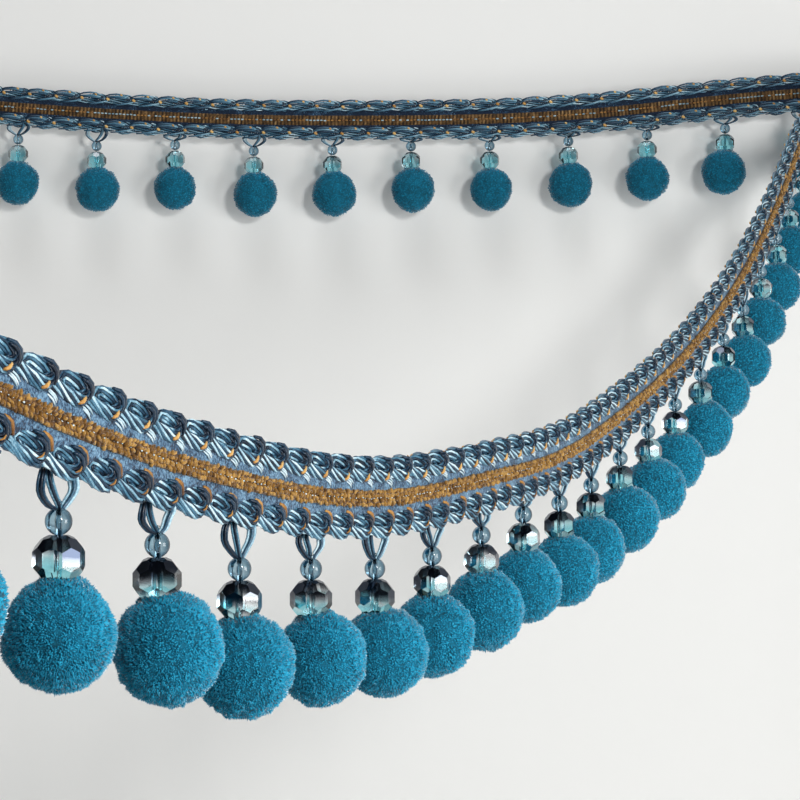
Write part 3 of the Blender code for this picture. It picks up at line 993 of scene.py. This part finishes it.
# The beads are turned nearly alike, with a belt facet about halfway between the viewer and the lamp
FACET_TURN = math.radians(-60.0)
FACET_JOG = 0.12
FACET_CUTS = {
    # tilt in degrees from level, distance from the bead's centre
    "belt": (0.0, 4.1),
    "shoulder": (38.0, 4.25),
    "crown": (64.0, 4.3),
    "end": (90.0, 4.05),
}
FACET_CORNERS = (
    # (ring, steps round) ... of a facet in the end, crown, shoulder, belt, shoulder, crown, end and bore
    ((0, 0), (1, 0), (1, 1), (0, 1)),
    ((1, -1), (2, -1), (3, 0), (2, 0), (1, 0)),
    ((2, 0), (3, 0), (4, 0), (5, 0), (4, 1), (3, 1)),
    ((4, 0), (5, -1), (6, -1), (7, 0), (6, 0), (5, 0)),
    ((6, 0), (7, 0), (8, 0), (9, 0), (8, 1), (7, 1)),
    ((8, 0), (9, -1), (10, -1), (10, 0), (9, 0)),
    ((10, 0), (11, 0), (11, 1), (10, 1)),
    ((11, 0), (0, 0), (0, 1), (11, 1)),
)
# Some facets are painted lighter and some darker, as painted reflections of the room's light and of its
# dark corners, less so on the back run
FACET_PAINTED_REFLECTIONS = (-0.3, -0.15, 0.0, 0.1, 0.25, 0.45)
BACK_REFLECTION_SHARE = 0.35
# A bead fades from a pale bottom to a dark top, partly its smoky coat and partly painted shade, given as
# height and tone, and far beads have clearer tops, painted with less of that shade
BEAD_BOTTOM = (-2.6, 1.05)
BEAD_TOP = (2.2, 0.05)
FAR_BEAD_LESS_SHADE = (
    # how far away, how much clearer the top is, with less painted shade
    (-520.0, 0.0),
    (-300.0, 0.28),
    (-20.0, 0.62),
)


def facet_ring(lower, lower_turn, upper, upper_turn, turned):
    """Height and radius of the corners where two kinds of cut meet, and how far they are turned.

    The turns say whether a corner lies over the middle of that cut's facets (0) or their edges (0.5).
    """
    rows = []
    reaches = []
    for name, turn in ((lower, lower_turn), (upper, upper_turn)):
        tilt, reach = FACET_CUTS[name]
        tilt = math.radians(tilt)
        rows.append((math.sin(tilt), math.cos(tilt) * math.cos(TURN * turn / FACETS)))
        reaches.append(reach)
    height, radius = np.linalg.solve(rows, reaches)
    return height, radius, turned


def facet_rings():
    """Rings of corners down the bead. Shoulder facets stand over the edges of the belt and the crown."""
    upper = [
        (FACET_CUTS["end"][1], BORE, 0.5),
        facet_ring("crown", 0.5, "end", 0.0, 0.5),
        facet_ring("shoulder", 0.0, "crown", 0.5, 0.5),
        facet_ring("shoulder", 0.5, "crown", 0.0, 0.0),
        facet_ring("belt", 0.0, "shoulder", 0.5, 0.0),
        facet_ring("belt", 0.5, "shoulder", 0.0, 0.5),
    ]
    return upper + [(-height, radius, turned) for height, radius, turned in reversed(upper)]


def facet_faces(rings):
    """Faces of one faceted bead, a block for each row of facets and one for the bore."""
    index = np.arange(rings * FACETS).reshape(rings, FACETS)
    return [
        np.stack([np.roll(index[ring], -steps) for ring, steps in corners], axis=-1)
        for corners in FACET_CORNERS
    ]


def faceted_beads(frames):
    """Large beads with flat facets all round, and a bore through each."""
    rng = np.random.default_rng(46)
    places = bead_places(frames, FACETED_BEAD_CENTRE + FACETED_BEAD_SINK, FACETED_BEAD_RAISED)
    height, radius, turned = np.array(facet_rings()).T[:, :, None]
    faces = facet_faces(len(height))
    shapes = Shapes()
    for place in places:
        less_shade = read(FAR_BEAD_LESS_SHADE, place[1])
        coat_and_shade = np.interp(height, (BEAD_BOTTOM[0], BEAD_TOP[0]), (BEAD_BOTTOM[1], BEAD_TOP[1] + less_shade))
        angle = FACET_TURN + rng.normal(0.0, FACET_JOG) + TURN * (np.arange(FACETS) + turned) / FACETS
        shapes.add(round_axis(angle, radius, height) + place, coat_and_shade, *faces)
    piece = shapes.make("faceted_beads", "faceted_bead", "bead_glass", smooth=False)
    # Each facet gets a painted reflection, lighter or darker
    painted_reflections = rng.choice(FACET_PAINTED_REFLECTIONS, (len(places), len(piece.data.polygons) // len(places)))
    painted_reflections = painted_reflections * np.interp(places[:, 1:2], BACK_RUN, (1.0, BACK_REFLECTION_SHARE))
    piece.data.attributes.new("facet", "FLOAT", "FACE").data.foreach_set("value", painted_reflections.ravel())
    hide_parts("bead_fringe")


# The nylon starts above the small bead's centre, where it is knotted, and ends below the faceted bead's
NYLON_RADIUS = 0.17
NYLON_ABOVE = 3.4
NYLON_BELOW = 5.0
KNOT_ABOVE = 3.1
KNOT_AXES = ((0.0, 0.0, 0.55), (0.65, 0.0, 0.0), (0.0, 0.6, 0.0))


def nylon_threads(frames):
    """The clear thread from a small knot in each loop, down through both beads into the pompom."""
    depths = np.linspace(SMALL_BEAD_CENTRE - NYLON_ABOVE, FACETED_BEAD_CENTRE + NYLON_BELOW, 8)
    paths = np.stack([bead_places(frames, depth) for depth in depths], axis=1)
    shapes = Shapes()
    add_tubes(shapes, paths, NYLON_RADIUS, 6, frames[2][:, None], 1.0)
    knots = bead_places(frames, SMALL_BEAD_CENTRE - KNOT_ABOVE)
    add_blobs(shapes, knots, np.broadcast_to(KNOT_AXES, (len(knots), 3, 3)), 1.0)
    shapes.make("nylon_threads", "nylon", "bead_glass")


# ---- the pompoms ----

PILE_LENGTH = 0.52
CORE_RINGS = 18
CORE_SIDES = 28
# The outline of a ball of radius one: a hollow for the bead, a collar round it, and a little sag
HOLLOW_DEPTH = 0.17
HOLLOW_WIDTH = 0.19
COLLAR_PLACE = 0.34
COLLAR_RISE = 0.035
COLLAR_WIDTH = 0.10
SAG = 0.05
POMPOM_LUMPS = (
    # frequency, height: the ball's lumps, the scissors' uneven cuts
    (1.1, 0.05),
    (2.8, 0.035),
)
CRUMB_FREQUENCY = 8.5
CRUMB_HEIGHT = 0.055
# Tufts: how far they are scattered and how wide they are, in shares of their spacing, how much they
# lean, and how uneven they are cut
TUFT_SCATTER = 0.35
TUFT_WIDTH = 0.62
TUFT_LEAN = 0.24
TUFT_CUT = 0.09
# The core is painted dark, as the shade between the tufts
CORE_PAINTED_SHADE = 0.12
# A tuft's tones at its three root corners and its tip, with painted shade at the roots; how much they
# follow the crumbs of the pile, as painted shade in its hollows; and how much darker they are painted on
# the back run
TUFT_TONES = (0.3, 0.3, 0.3, 0.56)
CRUMB_PAINTED_SHADE = 0.2
BACK_RUN_PAINTED_SHADE = 0.16


def waves(directions, index, frequency):
    """Smooth uneven values over the ball, between about -0.7 and 0.7."""
    start = Vector((7.3 * index, 0.0, 0.0))
    return np.array([noise.noise(Vector(direction) * frequency + start) for direction in directions])


def pompom_surface(directions, index):
    """Points of the lumpy outline in the given directions, for a ball of radius one."""
    lumps = 1.0 + sum(height * waves(directions, index, frequency) for frequency, height in POMPOM_LUMPS)
    points = directions * lumps[:, None]
    wide = np.hypot(points[:, 0], points[:, 1])
    hollow = HOLLOW_DEPTH * np.exp(-((wide / HOLLOW_WIDTH) ** 2))
    collar = COLLAR_RISE * np.exp(-(((wide - COLLAR_PLACE) / COLLAR_WIDTH) ** 2))
    points[:, 2] += np.where(points[:, 2] > 0.0, collar - hollow, SAG * points[:, 2])
    return points


def turned_to(axis):
    """Rotation that takes straight up to a leaning axis, as three rows."""
    return np.array(Vector((0.0, 0.0, 1.0)).rotation_difference(Vector(axis)).to_matrix())


def add_core(shapes, centre, turn, radius, index):
    """The ball under the pile, painted dark as the shade between the tufts, in rings with a fan of
    triangles at each end.
    """
    polar = np.linspace(0.0, math.pi, CORE_RINGS + 1)[1:-1, None]
    around = TURN * np.arange(CORE_SIDES) / CORE_SIDES
    core = round_axis(around, np.sin(polar), np.cos(polar)).reshape(-1, 3)
    core = pompom_surface(np.vstack([core, UP, -UP]), index) * (radius - PILE_LENGTH)
    rows = CORE_RINGS - 1
    grid = np.arange(rows * CORE_SIDES).reshape(rows, CORE_SIDES)
    right = np.roll(grid, -1, axis=1)
    walls = np.stack([grid[:-1], grid[1:], right[1:], right[:-1]], axis=-1)
    north, south = rows * CORE_SIDES, rows * CORE_SIDES + 1
    caps = np.stack([np.full(CORE_SIDES, north), grid[0], right[0]], axis=-1)
    feet = np.stack([np.full(CORE_SIDES, south), right[-1], grid[-1]], axis=-1)
    shapes.add(centre + core @ turn.T, CORE_PAINTED_SHADE, walls, np.concatenate([caps, feet]))


def add_tufts(shapes, centre, turn, radius, index):
    """The pile: three-sided spikes all round, spaced evenly and then scattered."""
    rng = np.random.default_rng(100 + index)
    tufts = DROPS[index][3]
    count = np.arange(tufts)
    height = 1.0 - 2.0 * (count + 0.5) / tufts
    ways = round_axis(TURN * count / GOLDEN, np.sqrt(1.0 - height**2), height)
    spacing = math.sqrt(4.0 * math.pi / tufts)
    ways = unit(ways + rng.normal(0.0, TUFT_SCATTER * spacing, ways.shape))
    crumbs = waves(ways, index, CRUMB_FREQUENCY)
    surface = pompom_surface(ways, index) * radius * (1.0 + CRUMB_HEIGHT * crumbs[:, None])
    roots = surface - ways * PILE_LENGTH
    tips = roots + unit(ways + rng.normal(0.0, TUFT_LEAN, ways.shape)) * PILE_LENGTH
    tips = tips + ways * rng.normal(0.0, TUFT_CUT, (tufts, 1))
    aside = unit(np.cross(ways, rng.normal(0.0, 1.0, ways.shape)))
    ahead = np.cross(ways, aside)
    width = TUFT_WIDTH * spacing * radius
    angle = TURN * np.arange(3)[:, None, None] / 3.0
    corners = roots + (aside * np.cos(angle) + ahead * np.sin(angle)) * width
    points = np.stack([*corners, tips], axis=1)
    sides = np.array([(0, 1, 3), (1, 2, 3), (2, 0, 3)]) + 4 * count[:, None, None]
    # Random tone per tuft, lighter on raised crumbs and darker in hollows as painted shade, and painted
    # shade on the back run
    mottle_and_shade = rng.uniform(-0.1, 0.1, tufts) + CRUMB_PAINTED_SHADE * crumbs
    mottle_and_shade = mottle_and_shade - np.interp(centre[1], BACK_RUN, (0.0, BACK_RUN_PAINTED_SHADE))
    tone = np.clip(mottle_and_shade[:, None] + TUFT_TONES, 0.0, 1.0)
    shapes.add(centre + points @ turn.T, tone, sides)


def pompom(index, bead):
    """One ball of cut pile: a dark core, and tufts that stand out of it all round."""
    lean_degrees, diameter = DROPS[index][:2]
    lean = math.radians(lean_degrees)
    axis = np.array((-math.sin(lean), 0.0, math.cos(lean)))
    centre = bead - axis * BEAD_TO_POMPOM
    turn = turned_to(axis)
    shapes = Shapes()
    add_core(shapes, centre, turn, diameter / 2.0, index)
    add_tufts(shapes, centre, turn, diameter / 2.0, index)
    piece = shapes.make(f"pompom_pile_{index + 1:02d}", "pile", "pompom_pile")
    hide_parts(f"pompom_{index + 1:02d}")


def drops(route):
    """Everything that hangs: the loops, the beads on their thread, and the pompoms."""
    frames = hang_frames(route)
    hanger_loops(frames)
    small_beads(frames)
    faceted_beads(frames)
    nylon_threads(frames)
    for index, bead in enumerate(bead_places(frames, FACETED_BEAD_CENTRE)):
        pompom(index, bead)


# ---- the studio ----

# The fitted camera: it looks level along +Y, as the photo does
CAMERA_PLACE = (-0.202, -1.083, -0.1485)
FOCAL_PIXELS = 2376.0
IMAGE_PIXELS = 800.0
SENSOR = 36.0

WALL_AWAY = 0.0205
FLOOR_UP = -0.62
COVE_RADIUS = 0.12
STUDIO_HALF = 4.0


def backdrop_material():
    """Matt pale card. It is see-through from behind, so that no view of the trim is blocked."""
    shade = Shading("pale_card", Roughness=0.95, Specular_IOR_Level=0.1)
    mottle = shade.noise(3.0, detail=3.0)
    shade.finish(Base_Color=shade.ramp(mottle, (0.3, (0.955, 0.955, 0.94)), (0.7, (0.98, 0.98, 0.965))))
    nodes, links = shade.nodes, shade.links
    clear = nodes.new("ShaderNodeBsdfTransparent")
    side = nodes.new("ShaderNodeNewGeometry")
    mix = nodes.new("ShaderNodeMixShader")
    links.new(side.outputs["Backfacing"], mix.inputs[0])
    links.new(shade.surface.outputs[0], mix.inputs[1])
    links.new(clear.outputs[0], mix.inputs[2])
    links.new(mix.outputs[0], nodes["Material Output"].inputs["Surface"])
    return shade.material


def backdrop():
    """A wall close behind the far run, curving into a floor well below the trim."""
    bend = np.linspace(0.0, 0.5 * math.pi, 13)
    away = WALL_AWAY - COVE_RADIUS + COVE_RADIUS * np.cos(bend)
    up = FLOOR_UP + COVE_RADIUS - COVE_RADIUS * np.sin(bend)
    outline = [(WALL_AWAY, STUDIO_HALF), *zip(away, up), (-STUDIO_HALF, FLOOR_UP)]
    points = [(x, y, z) for y, z in outline for x in (-STUDIO_HALF, STUDIO_HALF)]
    faces = [(2 * k, 2 * k + 2, 2 * k + 3, 2 * k + 1) for k in range(len(outline) - 1)]
    mesh = bpy.data.meshes.new("backdrop")
    mesh.from_pydata(points, [], faces)
    mesh.polygons.foreach_set("use_smooth", [True] * len(faces))
    mesh.materials.append(backdrop_material())
    wall = linked("backdrop", mesh)


LIGHTS = (
    # name, place, aim, size, power, colour
    ("lamp", (0.45, -0.90, -0.17), (-0.2, -0.5, -0.15), 0.35, 3.8, (1.0, 0.995, 0.98)),
    ("front", (0.25, -1.40, 0.15), (-0.25, 0.0, 0.0), 0.2, 6.5, (1.0, 0.995, 0.98)),
    ("ceiling", (-0.45, -0.4, 1.5), (-0.25, 0.1, -0.15), 1.0, 12.0, (0.97, 0.985, 1.0)),
)
ROOM_COLOUR = (0.84, 0.9, 1.0, 1.0)
ROOM_STRENGTH = 0.05


def studio():
    """A low lamp at the right, a soft light in front, and one overhead in a dim room."""
    for name, place, aim, size, power, colour in LIGHTS:
        light = bpy.data.lights.new(name, "AREA")
        light.shape = "SQUARE"
        light.size = size
        light.energy = power
        light.color = colour
        lamp = linked(name, light)
        lamp.location = place
        lamp.rotation_euler = (Vector(aim) - Vector(place)).to_track_quat("-Z", "Y").to_euler()
    world = bpy.data.worlds.new("studio")
    bpy.context.scene.world = world
    world.use_nodes = True
    sky = world.node_tree.nodes["Background"]
    sky.inputs["Color"].default_value = ROOM_COLOUR
    sky.inputs["Strength"].default_value = ROOM_STRENGTH
    bpy.context.scene.view_settings.view_transform = "Standard"


def camera():
    lens = bpy.data.cameras.new("camera")
    lens.sensor_width = SENSOR
    lens.lens = FOCAL_PIXELS / IMAGE_PIXELS * SENSOR
    lens.clip_start = 0.01
    eye = linked("camera", lens)
    eye.location = CAMERA_PLACE
    eye.rotation_euler = (0.5 * math.pi, 0.0, 0.0)
    bpy.context.scene.camera = eye


def main():
    route = Route(ROUTE)
    woven_ground(route)
    chenille_stripe(route)
    groove_flecks(route)
    reverse_stripe(route)
    gimps(route)
    drops(route)
    backdrop()
    studio()
    camera()


main()
